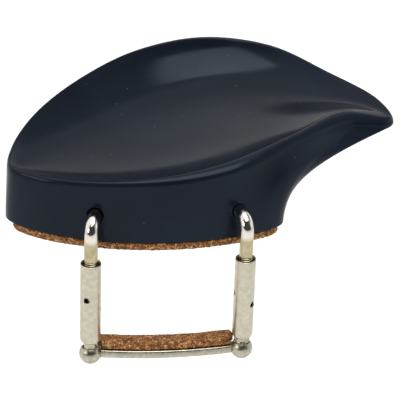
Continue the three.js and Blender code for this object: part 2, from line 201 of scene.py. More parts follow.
def make_lacquer():
    material, at = start_material("black_polished_lacquer_on_hardwood")
    cloud = add(material, "TexNoise", {"Vector": at, "Scale": 0.05, "Detail": 3.0})
    tone = ramp(material, cloud.outputs["Fac"], [(0.35, "12171f"), (0.65, "151c26")])
    speck = add(material, "TexVoronoi", {"Vector": at, "Scale": 1 / DUST_SPACING})
    close = ramp(material, speck.outputs["Distance"], [(0.0, 1.0), (0.045, 0.0)])
    dusty = add(material, "Mix", {"Factor": close, "A": tone, "B": linear("8d959d")},
                data_type="RGBA")
    smear = add(material, "TexNoise", {"Vector": at, "Scale": 0.12, "Detail": 4.0})
    gloss = add(material, "MapRange", {"Value": smear.outputs["Fac"], "From Min": 0.3,
                                       "From Max": 0.7, "To Min": 0.13, "To Max": 0.2})
    ripple = add(material, "TexNoise", {"Vector": at, "Scale": 1 / RIPPLE_SPACING, "Detail": 1.0})
    relief = add(material, "Bump", {"Height": ripple.outputs["Fac"], "Strength": 0.05,
                                    "Distance": 0.1 * MM})
    return close_material(material, {
        "Base Color": dusty.outputs["Result"], "Roughness": gloss.outputs["Result"],
        "IOR": 1.5, "Specular IOR Level": 0.2, "Specular Tint": linear("d4e4fa"),
        "Normal": relief.outputs["Normal"]})


lacquer = make_lacquer()

# %% [markdown]
# ## Nickel plate
# All the metal is brass with bright nickel plating, which is a slightly warm white. The hooks are
# polished like a mirror. The barrels, studs and foot are tumbled instead, so they shine softly and
# show the fine rings of the lathe.

# %% Nickel materials
RING_SPACING = 0.35
POLISHED_ABOVE, SATIN_BELOW = 6.2, 4.6


def near_axis(material, at, bright_from, dark_to, low, high):
    """The mask for painted shade inside a barrel: 1 near a barrel's axis and 0 away from it, between
    two heights. Also gives the height.
    """
    split = add(material, "SeparateXYZ", {"Vector": at})
    side = add(material, "Math", {0: split.outputs["X"]}, operation="ABSOLUTE")
    level = add(material, "CombineXYZ", {"X": side.outputs["Value"], "Y": split.outputs["Y"]})
    away = add(material, "VectorMath", {0: level.outputs["Vector"], 1: (BARREL_X, BARREL_Y, 0)},
               operation="DISTANCE")
    inner = add(material, "MapRange", {"Value": away.outputs["Value"], "From Min": dark_to,
                                       "From Max": bright_from, "To Min": 1.0, "To Max": 0.0})
    within = add(material, "Math", {0: split.outputs["Z"], 1: (low + high) / 2,
                                    2: (high - low) / 2}, operation="COMPARE")
    both = add(material, "Math", {0: inner.outputs["Result"], 1: within.outputs["Value"]},
               operation="MULTIPLY")
    return both.outputs["Value"], split.outputs["Z"]


def make_nickel(name, tones, low_gloss, spread, rings, bore_shade, bright=None):
    material, at = start_material(name)
    painted_bore_shade, height = near_axis(material, at, *bore_shade)
    cloud = add(material, "TexNoise", {"Vector": at, "Scale": 0.8, "Detail": 6.0})
    tone = ramp(material, cloud.outputs["Fac"], [(0.32, tones[0]), (0.68, tones[1])])
    gloss = add(material, "MapRange", {"Value": cloud.outputs["Fac"], "From Min": 0.3,
                                       "From Max": 0.7, "To Min": low_gloss,
                                       "To Max": low_gloss + spread}).outputs["Result"]
    if bright:
        up = add(material, "MapRange", {"Value": height, "From Min": SATIN_BELOW,
                                        "From Max": POLISHED_ABOVE}).outputs["Result"]
        tone = add(material, "Mix", {"Factor": up, "A": tone, "B": linear(bright)},
                   data_type="RGBA").outputs["Result"]
        gloss = add(material, "Mix", {"Factor": up, "A": gloss, "B": 0.04}).outputs["Result"]
    # Painted shade: a near-black brown darkens the bore, key-hole walls and stud collar inside each
    # barrel, and the hooks' thread roots, where shade falls.
    tone = add(material, "Mix", {"Factor": painted_bore_shade, "A": tone, "B": linear("1c1712")},
               data_type="RGBA").outputs["Result"]
    turned = add(material, "TexWave", {"Vector": at, "Scale": 1 / RING_SPACING / 20,
                                       "Distortion": 1.5, "Detail": 2.0},
                 wave_type="BANDS", bands_direction="Z")
    relief = add(material, "Bump", {"Height": turned.outputs["Fac"], "Strength": rings,
                                    "Distance": 0.02 * MM})
    return close_material(material, {
        "Base Color": tone, "Metallic": 1.0, "Roughness": gloss,
        "Normal": relief.outputs["Normal"]})


# The last zone of each finish marks where painted shade darkens the inside of the barrels.
polished_nickel = make_nickel("polished_nickel_plate_on_bent_rod", ("b3a682", "d0c5a4"), 0.22,
                              0.16, 0.05, bore_shade=(1.68, 1.5, -30, -0.5), bright="ece8dc")
forged_nickel = make_nickel("tumbled_nickel_plate_on_forging", ("aba591", "cdc8b5"), 0.22, 0.14, 0.1,
                            bore_shade=(2.5, 2.3, BARREL_BOTTOM, BARREL_TOP - 0.6))
tumbled_nickel = make_nickel("tumbled_nickel_plate", ("c4bfaa", "d8d3be"), 0.27, 0.12, 0.3,
                             bore_shade=(2.5, 2.3, BARREL_BOTTOM, BARREL_TOP - 0.6))

# %% [markdown]
# ## Cork
# Sheet cork for linings is ground bark pressed with a binder. The grains are about a millimetre
# across, from pale tan to dark brown, with dark binder in the gaps. Voronoi cells are the natural
# pattern for it: one random value per cell colours a grain, and the distance to a cell's edge finds
# the gaps.

# %% Cork material
GRAIN = 0.6


def make_cork():
    material, at = start_material("pressed_cork_sheet")
    wander = add(material, "TexNoise", {"Vector": at, "Scale": 1.6, "Detail": 3.0})
    bent = add(material, "VectorMath", {0: wander.outputs["Color"], 1: (0.5, 0.5, 0.5)},
               operation="MULTIPLY")
    moved = add(material, "VectorMath", {0: at, 1: bent.outputs["Vector"]}, operation="ADD")
    cells = add(material, "TexVoronoi", {"Vector": moved.outputs["Vector"], "Scale": 1 / GRAIN})
    edges = add(material, "TexVoronoi", {"Vector": moved.outputs["Vector"], "Scale": 1 / GRAIN},
                feature="DISTANCE_TO_EDGE")
    pick = add(material, "SeparateColor", {"Color": cells.outputs["Color"]})
    grain = ramp(material, pick.outputs["Red"], [
        (0.0, "2e1407"), (0.25, "74401a"), (0.5, "b3713a"), (0.8, "d0935a"), (1.0, "eec490")])
    fine = add(material, "TexNoise", {"Vector": at, "Scale": 3.0, "Detail": 6.0})
    mottled = add(material, "Mix", {"Factor": 0.35, "A": grain,
                                    "B": ramp(material, fine.outputs["Fac"],
                                              [(0.35, "7a4a22"), (0.65, "d8a870")])},
                  data_type="RGBA")
    gap = ramp(material, edges.outputs["Distance"], [(0.0, 1.0), (0.13, 0.0)])
    bound = add(material, "Mix", {"Factor": gap, "A": mottled.outputs["Result"],
                                  "B": linear("3d1e0c")}, data_type="RGBA")
    height = add(material, "Math", {0: edges.outputs["Distance"], 1: fine.outputs["Fac"]},
                 operation="ADD")
    relief = add(material, "Bump", {"Height": height.outputs["Value"], "Strength": 0.6,
                                    "Distance": 0.25 * MM})
    return close_material(material, {
        "Base Color": bound.outputs["Result"], "Roughness": 0.9, "Specular IOR Level": 0.25,
        "Normal": relief.outputs["Normal"]})


cork = make_cork()

# %% [markdown]
# ## From a bmesh to a piece
# Every piece is shaped in millimetres with bmesh operators and then handed to one function, which
# scales it to metres, points its faces outwards, gives it its finish, and hangs it on the body that
# carries it.

# %% Finish a piece
SHARP = math.radians(38)


def finish_piece(bm, name, body, material, replaced=(), sharp=SHARP):
    bmesh.ops.scale(bm, vec=(MM,) * 3, verts=bm.verts)
    bmesh.ops.recalc_face_normals(bm, faces=bm.faces)
    mesh = bpy.data.meshes.new(name)
    bm.to_mesh(mesh)
    bm.free()
    piece = bpy.data.objects.new(name, mesh)
    bpy.context.scene.collection.objects.link(piece)
    return dress(piece, body, material, replaced, sharp)


def dress(piece, body, material, replaced=(), sharp=SHARP):
    mesh = piece.data
    mesh.shade_smooth()
    mesh.set_sharp_from_angle(angle=sharp)
    mesh.materials.clear()
    mesh.materials.append(material)
    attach(piece, body)
    if replaced:
        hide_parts(*replaced)
    print(piece.name, len(mesh.polygons), "faces")
    return piece


def loose(bm, name):
    """A helper shape that cuts or joins another, and is then thrown away."""
    bmesh.ops.scale(bm, vec=(MM,) * 3, verts=bm.verts)
    bmesh.ops.recalc_face_normals(bm, faces=bm.faces)
    mesh = bpy.data.meshes.new(name)
    bm.to_mesh(mesh)
    bm.free()
    helper = bpy.data.objects.new(name, mesh)
    bpy.context.scene.collection.objects.link(helper)
    return helper


def settle(piece, *steps):
    """Adds a modifier for each (kind, settings), and makes their result the piece's own mesh."""
    helpers = []
    for kind, settings in steps:
        modifier = piece.modifiers.new(kind.lower(), kind)
        for name, value in settings.items():
            setattr(modifier, name, value)
            if isinstance(value, bpy.types.Object):
                helpers.append(value)
    graph = bpy.context.evaluated_depsgraph_get()
    made = bpy.data.meshes.new_from_object(piece.evaluated_get(graph))
    piece.modifiers.clear()
    piece.data = made
    for helper in helpers:
        bpy.data.objects.remove(helper)
    return piece


def cut(helper, operation="DIFFERENCE"):
    return ("BOOLEAN", {"object": helper, "operation": operation, "solver": "EXACT"})


# %% [markdown]
# ## The cup
# A carver leaves this shape with no two sections alike: a straight wall with a rolled lip over the
# hardware, a wing that reaches over the tailpiece side, and a high far rim. So the cup is described
# by stations round its outline. Smooth curves run through the stations, each place on them gives a
# section, and the mesh is one ring of points extruded up the wall, over the rim and into the dish.

# %% Stations round the cup
# rim: crest, as shares of width, depth and height. roll: how far the outside stands out, and drops.
# cove: how far the dish's side reaches in, and falls. foot: footing's edge, as shares of its sweep
# and depth. flank: how the outside leaves the footing, and comes out under the rim. wall: 1 where it
# is straight.
STATIONS = [
    ((-0.379, 0.208, 0.623), (0.15, 0.6), (0.4, 0.2), (-0.94, 0.11), (0.33, 0.67, 0.67), 0),
    ((-0.288, 0.108, 0.619), (0.25, 0.5), (0.75, 0.25), (-0.68, 0), (0.33, 0.67, 0.67), 1),
    ((-0.149, 0.036, 0.657), (0.2, 0.45), (0.9, 0.36), (-0.33, 0), (0.33, 0.67, 0.67), 1),
    ((0, 0.026, 0.713), (0.35, 0.5), (1, 0.42), (0, 0), (0.33, 0.67, 0.67), 1),
    ((0.154, 0.084, 0.774), (0.5, 0.55), (1, 0.45), (0.42, 0), (0.33, 0.6, 0.67), 0.6),
    ((0.331, 0.247, 0.838), (0.55, 0.6), (0.95, 0.4), (0.78, 0), (0.5, 0.3, 0.8), 0),
    ((0.475, 0.416, 0.849), (0.85, 0.9), (0.6, 0.15), (0.925, 0.055), (0.56, 0.28, 0.84), 0),
    ((0.596, 0.458, 0.735), (0.4, 0.65), (0.45, -0.1), (0.99, 0.245), (0.6, 0.3, 0.84), 0),
    ((0.576, 0.563, 0.792), (0.2, 0.75), (0.45, 0.08), (1, 0.51), (0.6, 0.4, 0.85), 0),
    ((0.4635, 0.743, 0.879), (0.2, 0.9), (0.5, 0.5), (0.915, 0.85), (0.5, 0.6, 0.7), 0),
    ((0.326, 0.931, 0.962), (0.25, 1), (0.6, 0.85), (0.575, 1), (0.38, 0.8, 0.5), 0),
    ((0.1535, 0.987, 1), (0.25, 1), (0.62, 0.95), (0.15, 1), (0.34, 0.85, 0.42), 0),
    ((-0.026, 0.905, 0.97), (0.25, 1), (0.62, 0.95), (-0.225, 1), (0.34, 0.85, 0.42), 0),
    ((-0.184, 0.731, 0.883), (0.25, 1), (0.58, 0.8), (-0.575, 1), (0.36, 0.8, 0.45), 0),
    ((-0.305, 0.53, 0.77), (0.25, 0.95), (0.5, 0.6), (-0.9, 0.93), (0.36, 0.6, 0.55), 0),
    ((-0.37, 0.336, 0.668), (0.22, 0.8), (0.42, 0.36), (-1, 0.505), (0.34, 0.6, 0.62), 0),
]
DISH_CENTRE = Vector((-0.02 * CUP_WIDTH, WALL_FRONT_Y + 0.46 * CUP_DEPTH,
                      CORK_THICKNESS + 0.52 * CUP_HEIGHT))


def run(points, share, by_distance=False):
    """A smooth closed curve through the points, read at a share of the way round."""
    place = (share % 1) * len(points)
    first = int(place)
    t = place - first
    p = [points[(first + k - 1) % len(points)] for k in range(4)]
    if by_distance:
        d = [max((p[k + 1] - p[k]).length, 1e-6) ** 0.5 for k in range(3)]
        leave = ((p[1] - p[0]) / d[0] - (p[2] - p[0]) / (d[0] + d[1]) + (p[2] - p[1]) / d[1]) * d[1]
        arrive = ((p[2] - p[1]) / d[1] - (p[3] - p[1]) / (d[1] + d[2]) + (p[3] - p[2]) / d[2]) * d[1]
    else:
        leave, arrive = (p[2] - p[0]) / 2, (p[3] - p[1]) / 2
    return (p[1] + leave * t + (3 * (p[2] - p[1]) - 2 * leave - arrive) * t ** 2
            + (2 * (p[1] - p[2]) + leave + arrive) * t ** 3)


RIMS = [Vector((s[0][0] * CUP_WIDTH, WALL_FRONT_Y + s[0][1] * CUP_DEPTH,
                CORK_THICKNESS + s[0][2] * CUP_HEIGHT)) for s in STATIONS]
ROLLS = [Vector((*s[1], s[5])) for s in STATIONS]
COVES = [Vector((*s[2], 0)) for s in STATIONS]
FEET = [Vector((*s[3], 0)) for s in STATIONS]
FLANKS = [Vector(s[4]) for s in STATIONS]
HOLLOWS = [Vector((deep, reach, 0)) for deep, reach in [
    (3.4, 4.5), (4.5, 11), (6.5, 15), (9, 18), (9, 19), (6.5, 15), (1.3, 8), (0, 6),
    (4.6, 14), (7.6, 7.5), (10.9, 7.5), (12.2, 7.5), (12, 7.5), (10.5, 7.5), (8.3, 7), (5, 6)]]


def footing_point(share, inset, sweep_share=1.0):
    """A point on the footing's edge, drawn in towards its middle line by the inset."""
    turn_share, depth_share, _ = run(FEET, share)
    turn = turn_share * (LEFT_SWEEP if turn_share < 0 else RIGHT_SWEEP) * sweep_share
    radius = EDGE_RADIUS - max(0.0, depth_share) * FOOTING_DEPTH
    across = Vector((math.sin(turn), -math.cos(turn), 0))
    edge = Vector((0, EDGE_CENTRE_Y, CORK_THICKNESS)) + across * radius
    inwards = across * (EDGE_RADIUS - FOOTING_DEPTH / 2 - radius)
    return edge + inwards.normalized() * inset if inwards.length else edge


# %% One section of the cup
FLANK_START = 0.06
FLANK_STEPS, ROLL_STEPS, DISH_STEPS = 18, 12, 44
BRINK, BRINK_BEND = 1.2, 1.4
ROLL_FIRST = 2 + FLANK_STEPS - 3
COVE_FIRST = 2 + FLANK_STEPS + ROLL_STEPS + 4
TANGENT_STEP = 1e-4


def bezier(a, b, c, d, t):
    return a * (1 - t) ** 3 + b * 3 * t * (1 - t) ** 2 + c * 3 * t ** 2 * (1 - t) + d * t ** 3


ANCHORS = 400
anchors = [(run(RIMS, k / ANCHORS, by_distance=True), run(HOLLOWS, k / ANCHORS))
           for k in range(ANCHORS)]
anchor_place = np.array([rim[:] for rim, _ in anchors])
anchor_deep, anchor_reach = np.array([hollow[:2] for _, hollow in anchors]).T
anchor_length = np.linalg.norm(np.roll(anchor_place, -1, 0) - np.roll(anchor_place, 1, 0), axis=1) / 2


def dish_height(point):
    away = np.linalg.norm(anchor_place[:, :2] - np.array(point[:2]), axis=1)
    pull = anchor_length / away ** 3
    share = pull / pull.sum()
    from_rim = math.sqrt(2 / pull.sum())
    deep, reach = (share * anchor_deep).sum(), (share * anchor_reach).sum()
    return (share * anchor_place[:, 2]).sum() - deep * (1 - math.exp(-from_rim / reach))


def cup_section(share):
    foot = footing_point(share, 0)
    rim = run(RIMS, share, by_distance=True)
    ahead = run(RIMS, share + TANGENT_STEP, by_distance=True)
    tangent = ahead - run(RIMS, share - TANGENT_STEP, by_distance=True)
    outward = Vector((tangent.y, -tangent.x, 0)).normalized()
    out_share, drop_share, wall_share = run(ROLLS, share)
    rise, reach, lift = run(FLANKS, share)

    edge = rim + outward * out_share * ROLL_WIDTH
    edge.x += (foot.x - edge.x) * wall_share
    edge.y += (foot.y - edge.y) * wall_share
    edge.z -= drop_share * ROLL_DROP
    height = edge.z - foot.z
    upright = Vector((foot.x, foot.y, foot.z + rise * height))
    under = foot.lerp(edge, reach)
    under.z = foot.z + lift * height

    section = [footing_point(share, FOOTING_BREAK), foot + Vector((0, 0, FOOTING_BREAK))]
    for step in range(FLANK_STEPS + 1):
        t = FLANK_START + (1 - FLANK_START) * step / FLANK_STEPS
        section.append(bezier(foot, upright, under, edge, t))
    for step in range(1, ROLL_STEPS + 1):
        turn = math.pi / 2 * (1 - step / ROLL_STEPS)
        point = rim.lerp(edge, math.sin(turn))
        point.z = rim.z - drop_share * ROLL_DROP * (1 - math.cos(turn))
        section.append(point)
    to_centre = (DISH_CENTRE - rim).to_2d().normalized().to_3d()
    brink = rim.lerp(DISH_CENTRE, BRINK / (DISH_CENTRE - rim).length)
    for step in range(1, DISH_STEPS):
        point = rim.lerp(DISH_CENTRE, (step / DISH_STEPS) ** 1.5)
        inside_by = (point - rim).to_2d().length
        if inside_by < BRINK:
            point.z = rim.z + (dish_height(brink) - rim.z) * (inside_by / BRINK) ** BRINK_BEND
        else:
            point.z = dish_height(point)
        section.append(point)
    return section


# %% [markdown]
# Each ring starts as the last one, extruded. The extrude operator returns the new points in no set
# order, so a small function finds the new point over each old one.

# %% Build the cup
CUP_SIDES = 240


def extrude_ring(bm, ring):
    """Extrudes a closed ring of points, and returns the new points in the old ones' order."""
    edges = [next(e for e in v.link_edges if e.other_vert(v) == ring[(i + 1) % len(ring)])
             for i, v in enumerate(ring)]
    made = bmesh.ops.extrude_edge_only(bm, edges=edges)["geom"]
    fresh = {g for g in made if isinstance(g, bmesh.types.BMVert)}
    return [next(e.other_vert(v) for e in v.link_edges if e.other_vert(v) in fresh) for v in ring]


def make_cup():
    sections = [cup_section(i / CUP_SIDES) for i in range(CUP_SIDES)]
    bm = bmesh.new()
    ring = bmesh.ops.create_circle(bm, segments=CUP_SIDES, radius=EDGE_RADIUS)["verts"]
    bmesh.ops.contextual_create(bm, geom=ring)
    rings = []
    for level in range(len(sections[0])):
        if level:
            ring = extrude_ring(bm, ring)
        rings.append(ring)
        for vert, section in zip(ring, sections):
            vert.co = section[level]
    ring = extrude_ring(bm, ring)
    lowest = Vector((DISH_CENTRE.x, DISH_CENTRE.y, dish_height(DISH_CENTRE)))
    bmesh.ops.pointmerge(bm, verts=ring, merge_co=lowest)
    print("dish centre at", round(lowest.z, 2), "mm")
    for first, passes in ((ROLL_FIRST, 1), (COVE_FIRST, 4)):
        inside = [v for loop in rings[first:] for v in loop if v.is_valid]
        for _ in range(passes):
            bmesh.ops.smooth_vert(bm, verts=inside, factor=0.5, use_axis_x=True, use_axis_y=True,
                                  use_axis_z=True)
    return loose(bm, "chin_cup_carved")


def leg_frame(turn):
    """Turns a shape drawn with +X out from the violin so that it stands at that turn of the edge."""
    return (Matrix.Translation((0, EDGE_CENTRE_Y, 0))
            @ Matrix.Rotation(turn - math.pi / 2, 4, "Z"))


def lathe(profile, steps, closed=True):
    """Spins a line of (radius, height) points once round the Z axis."""
    bm = bmesh.new()
    verts = [bm.verts.new((r, 0, z)) for r, z in profile]
    for a, b in zip(verts, verts[1:] + verts[:1] if closed else verts[1:]):
        bm.edges.new((a, b))
    bmesh.ops.spin(bm, geom=list(bm.verts) + list(bm.edges), cent=(0, 0, 0), axis=(0, 0, 1),
                   angle=2 * math.pi, steps=steps, use_merge=True)
    bmesh.ops.remove_doubles(bm, verts=bm.verts, dist=1e-5)
    return bm


DRILL_CLEARANCE, DRILL_RIM, OVERRUN = 0.12, 0.6, 1.0
DRILL_STEPS = 48


def hook_drill(turn):
    radius = ROD_RADIUS + DRILL_CLEARANCE
    bm = lathe([(0, EDGE_RADIUS - LEG_DEPTH - DRILL_CLEARANCE),
                (radius, EDGE_RADIUS - LEG_DEPTH - DRILL_CLEARANCE),
                (radius, EDGE_RADIUS - DRILL_RIM),
                (radius + 0.15 * DRILL_RIM, EDGE_RADIUS - 0.6 * DRILL_RIM),
                (radius + DRILL_RIM + OVERRUN, EDGE_RADIUS + OVERRUN),
                (0, EDGE_RADIUS + OVERRUN)], DRILL_STEPS, closed=False)
    lay = leg_frame(turn) @ Matrix.Translation((0, 0, LEG_Z)) @ Matrix.Rotation(math.pi / 2, 4, "Y")
    bmesh.ops.transform(bm, matrix=lay, verts=bm.verts)
    return loose(bm, "hook_drill")


cup = settle(make_cup(), cut(hook_drill(-BARREL_TURN)), cut(hook_drill(BARREL_TURN)))
cup.name = "carved_chin_cup"
dress(cup, "cup_body", lacquer, ["chin_cup"])

# %% [markdown]
# ## The hooks
# Each hook is a rod with a leg in the wood, a round bend, and an end threaded into its barrel. A
# circle extruded and then spun a quarter turn is exactly how the rod is bent. The thread is a small
# tooth profile spun with a climb, so that each turn meets the next.

# %% Rod and thread
ROD_STEPS, BEND_STEPS = 48, 24
THREAD_PITCH, THREAD_DEPTH, THREAD_START = 0.6, 0.3, -0.35
THREAD_RADIUS = 1.73
END_BREAK = 0.4


def move_ring(bm, ring, offset, radius_change=0.0, centre=None):
    """Extrudes a ring, moves it, and grows or shrinks it about its centre."""
    ring = extrude_ring(bm, ring)
    bmesh.ops.translate(bm, verts=ring, vec=offset)
    if radius_change:
        middle_of = sum((v.co for v in ring), Vector()) / len(ring)
        radius = (ring[0].co - middle_of).length
        share = (radius + radius_change) / radius
        bmesh.ops.scale(bm, vec=(share,) * 3, verts=ring, space=Matrix.Translation(-middle_of))
    return ring


def add_thread(bm, top, bottom):
    turns = int((top - bottom) / THREAD_PITCH)
    steps = 32
    inner = THREAD_RADIUS - THREAD_DEPTH
    tooth = [(inner, 0), (THREAD_RADIUS, -0.4), (THREAD_RADIUS, -0.55), (inner, -0.95), (inner, -1)]
    verts = [bm.verts.new((BARREL_REACH + r, 0, top + z * THREAD_PITCH)) for r, z in tooth]
    edges = [bm.edges.new(pair) for pair in zip(verts, verts[1:])]
    bmesh.ops.spin(bm, geom=verts + edges, cent=(BARREL_REACH, 0, 0), axis=(0, 0, 1),
                   dvec=(0, 0, -THREAD_PITCH / steps), angle=-2 * math.pi * turns,
                   steps=steps * turns)
    bmesh.ops.remove_doubles(bm, verts=bm.verts, dist=1e-4)
    rims = [e for e in bm.edges if e.is_boundary]
    bmesh.ops.holes_fill(bm, edges=rims, sides=0)


def make_hook(name, turn):
    bm = bmesh.new()
    ring = bmesh.ops.create_circle(bm, segments=ROD_STEPS, radius=ROD_RADIUS - END_BREAK)["verts"]
    bmesh.ops.contextual_create(bm, geom=ring)
    start = EDGE_RADIUS - LEG_DEPTH
    lay = Matrix.Translation((start, 0, LEG_Z)) @ Matrix.Rotation(math.pi / 2, 4, "Y")
    bmesh.ops.transform(bm, matrix=lay, verts=ring)
    ring = move_ring(bm, ring, (END_BREAK, 0, 0), END_BREAK)
    bend_out, bend_down = BARREL_REACH - BEND_RADIUS, LEG_Z - BEND_RADIUS
    ring = move_ring(bm, ring, (bend_out - start - END_BREAK, 0, 0))
    for _ in range(BEND_STEPS):
        ring = extrude_ring(bm, ring)
        bmesh.ops.rotate(bm, verts=ring, cent=(bend_out, 0, bend_down),
                         matrix=Matrix.Rotation(math.pi / 2 / BEND_STEPS, 3, "Y"))
    ring = move_ring(bm, ring, (0, 0, THREAD_START + 0.2 - bend_down))
    ring = move_ring(bm, ring, (0, 0, -0.2), THREAD_RADIUS - THREAD_DEPTH - ROD_RADIUS)
    bmesh.ops.contextual_create(bm, geom=ring)
    add_thread(bm, THREAD_START + THREAD_PITCH, ROD_END + THREAD_PITCH)
    bmesh.ops.transform(bm, matrix=leg_frame(turn), verts=bm.verts)
    finish_piece(bm, name + "_rod", "cup_body", polished_nickel, [name])


make_hook("left_hook", -BARREL_TURN)
make_hook("right_hook", BARREL_TURN)

# %% [markdown]
# ## The barrels
# A barrel is a round nut turned from bar: bored through, chamfered at its mouth, rolled in at its
# lower end round the stud's neck, and cross-drilled twice for the pin key. The lathe profile gives
# the turning, and the drilling is a boolean with a cutter that also breaks the hole's edges.

# %% Turn and drill the barrels
BARREL_RADIUS, BORE_RADIUS, MOUTH_RADIUS, MOUTH_DEPTH = 2.7, 1.9, 2.35, 1.0
TOP_BREAK, SHOULDER, LOWER_RIM = 0.2, 1.2, 2.0
NECK_RADIUS, NECK_CLEARANCE = 1.6, 0.15
ROLLED_RIM, COLLAR_HEIGHT, COLLAR_RADIUS, COLLAR_CLEARANCE = 0.9, 2.2, 2.1, 0.15
KEY_RADIUS, KEY_BREAK = 0.78, 0.22
UPPER_KEY_DEPTH, LOWER_KEY_DEPTH = 10.1, 13.3
LEFT_KEY_TURNS, RIGHT_KEY_TURNS = (-28, 77), (-85, 51)
LATHE_STEPS = 128


def arc(centre_r, centre_z, radius_r, radius_z, start, end, count):
    """Points of part of an ellipse in a lathe profile, with angles in degrees."""
    turns = [math.radians(start + (end - start) * k / count) for k in range(count + 1)]
    return [(centre_r + radius_r * math.cos(a), centre_z + radius_z * math.sin(a)) for a in turns]


def key_drill(depth, degrees):
    radius, reach = KEY_RADIUS, BARREL_RADIUS + OVERRUN
    flare = radius + KEY_BREAK + OVERRUN
    waist = BARREL_RADIUS - KEY_BREAK
    bm = lathe([(0, -reach), (flare, -reach), (radius, -waist), (radius, waist), (flare, reach),
                (0, reach)], 32, closed=False)
    lay = (Matrix.Translation((0, 0, BARREL_TOP - depth))
           @ Matrix.Rotation(math.radians(degrees), 4, "Z") @ Matrix.Rotation(math.pi / 2, 4, "X"))
    bmesh.ops.transform(bm, matrix=lay, verts=bm.verts)
    return bm


def make_barrel(name, body, x, key_turns):
    cavity_low = BARREL_BOTTOM + ROLLED_RIM
    cavity_high = cavity_low + COLLAR_HEIGHT + 2 * COLLAR_CLEARANCE
    hole = NECK_RADIUS + NECK_CLEARANCE
    wide = COLLAR_RADIUS + COLLAR_CLEARANCE
    profile = [(hole, BARREL_BOTTOM)]
    profile += arc(LOWER_RIM, BARREL_BOTTOM + SHOULDER, BARREL_RADIUS - LOWER_RIM, SHOULDER,
                   -90, 0, 10)
    profile += [(BARREL_RADIUS, z) for z in (BARREL_BOTTOM + 2, -14, -11, -3)]
    profile += arc(BARREL_RADIUS - TOP_BREAK, BARREL_TOP - TOP_BREAK, TOP_BREAK, TOP_BREAK,
                   0, 90, 4)
    profile += [(MOUTH_RADIUS, BARREL_TOP), (BORE_RADIUS, BARREL_TOP - MOUTH_DEPTH),
                (BORE_RADIUS, cavity_high), (wide, cavity_high), (wide, cavity_low),
                (hole, cavity_low)]
    bm = lathe(profile, LATHE_STEPS)
    place = Matrix.Translation((x, BARREL_Y, 0))
    bmesh.ops.transform(bm, matrix=place, verts=bm.verts)
    barrel = loose(bm, name + "_nut")
    cuts = []
    for depth, degrees in zip((UPPER_KEY_DEPTH, LOWER_KEY_DEPTH), key_turns):
        drill = key_drill(depth, degrees)
        bmesh.ops.transform(drill, matrix=place, verts=drill.verts)
        cuts.append(cut(loose(drill, "key_drill")))
    settle(barrel, *cuts)
    dress(barrel, body, tumbled_nickel, [name])


make_barrel("left_barrel", "left_nut", -BARREL_X, LEFT_KEY_TURNS)
make_barrel("right_barrel", "right_nut", BARREL_X, RIGHT_KEY_TURNS)

# %% [markdown]
# ## The studs
# A stud is a pin with a collar that the barrel holds and a ball that the foot holds, so that the
# barrels can turn while the foot only slides and tilts. It is one plain turning.

# %% Turn the studs
BALL_RADIUS = stud_high.x - stud_middle.x
PIVOT_Z = stud_low.z + BALL_RADIUS
COLLAR_TOP = stud_high.z


def make_stud(name, x):
    meet = math.degrees(math.acos(NECK_RADIUS / BALL_RADIUS))
    profile = [(0, PIVOT_Z - BALL_RADIUS)]
    profile += arc(0, PIVOT_Z, BALL_RADIUS, BALL_RADIUS, -86, meet, 24)
    low = COLLAR_TOP - COLLAR_HEIGHT
    profile += [(NECK_RADIUS, low), (COLLAR_RADIUS, low), (COLLAR_RADIUS, COLLAR_TOP),
                (0, COLLAR_TOP)]
    bm = lathe(profile, 96, closed=False)
    bmesh.ops.translate(bm, verts=bm.verts, vec=(x, BARREL_Y, 0))
    finish_piece(bm, name + "_pin", "swivel_studs", tumbled_nickel, [name])


make_stud("left_stud", -BARREL_X)
make_stud("right_stud", BARREL_X)

# %% [markdown]
# ## The foot plate
# The foot is a bowed bar with a ball-shaped socket forged on each end. The bar's section is swept
# round the same centre as the violin's edge with the spin operator, its edges are bevelled, the two
# sockets are joined on, and the hollows for the stud balls are cut last.

# %% Shape the foot plate
FOOT_DEPTH, PLATE_THICKNESS, PIVOT_ABOVE_PLATE = 6.2, 2.1, 1.3
PLATE_EDGE, PLATE_END = 0.45, 1.6
SOCKET_RADIUS, SOCKET_TOP, SOCKET_CLEARANCE = 2.9, 1.7, 0.15
THROAT_RADIUS, THROAT_FLARE = 1.95, 0.15
PLATE_REACH_SHARE = 0.93
DROOP = math.radians(10)
FOOT_CENTRE_Y = BARREL_REACH * math.cos(BARREL_TURN)
FOOT_FRAME = (Matrix.Translation((0, BARREL_Y, PIVOT_Z)) @ Matrix.Rotation(-DROOP, 4, "X"))


def arc_bar(inner, outer, low, high, half_length, steps):
    """A bar of rectangular section, swept round the centre of the violin's edge."""
    half_turn = math.asin(half_length / outer)
    bm = bmesh.new()
    corners = [bm.verts.new((r, 0, z)) for r, z in ((inner, low), (outer, low), (outer, high),
                                                   (inner, high))]
    edges = [bm.edges.new(pair) for pair in zip(corners, corners[1:] + corners[:1])]
    bmesh.ops.rotate(bm, verts=corners, matrix=Matrix.Rotation(-math.pi / 2 - half_turn, 3, "Z"))
    bmesh.ops.spin(bm, geom=corners + edges, cent=(0, 0, 0), axis=(0, 0, 1),
                   angle=2 * half_turn, steps=steps)
    bmesh.ops.holes_fill(bm, edges=[e for e in bm.edges if e.is_boundary], sides=0)
    bmesh.ops.translate(bm, verts=bm.verts, vec=(0, FOOT_CENTRE_Y, 0))
    return bm


def bevel_edges(bm, edges, width, segments):
    bmesh.ops.bevel(bm, geom=edges, offset=width, offset_type="OFFSET", segments=segments,
                    profile=0.5, affect="EDGES", material=-1)


def end_posts(bm):
    """The upright edges at a bar's two ends."""
    return [e for e in bm.edges if abs(e.verts[0].co.z - e.verts[1].co.z) > 0.5
            and (e.verts[0].co - e.verts[1].co).xy.length < 1e-4
            and any(len(f.verts) > 3 and abs(f.normal.x) > 0.9 for f in e.link_faces)]


